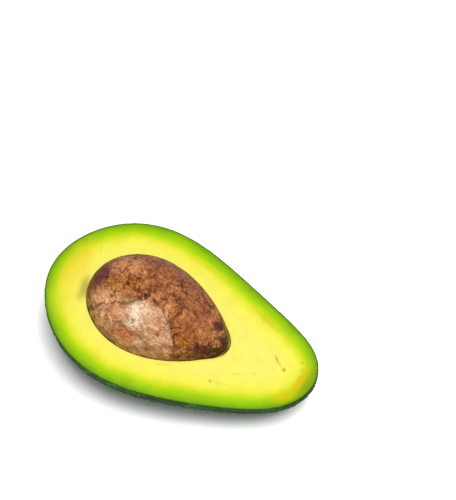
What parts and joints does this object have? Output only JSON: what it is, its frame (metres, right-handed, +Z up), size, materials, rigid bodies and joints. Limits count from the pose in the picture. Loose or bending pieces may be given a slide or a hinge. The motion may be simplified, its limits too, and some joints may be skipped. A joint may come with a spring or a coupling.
{
  "type": "halved avocado",
  "caption": "Halved avocado lying on its back: pebbled green skin, yellow-green flesh, the brown stone in its hollow and a woody stem button.",
  "frame": {"origin": "centre of the small flat spot on the back of the skin that the half lies on", "axes": "+X along the fruit towards the stem end, +Y across it, +Z up towards the cut face"},
  "size_m": [0.1104, 0.068, 0.052],
  "materials": {
    "skin": "waxy, pebbled dark green rind, semi-gloss",
    "flesh": "soft buttery cut flesh, yellow in the middle and bright green under the skin, satin",
    "stone": "papery, cracked brown seed coat with paler rubbed patches, satin",
    "stem_button": "torn, woody, reddish brown, dull"
  },
  "bodies": {
    "root": {"skin": "skin", "flesh": "flesh", "stone": "stone", "stem_button": "stem_button"}
  },
  "joints": []
}
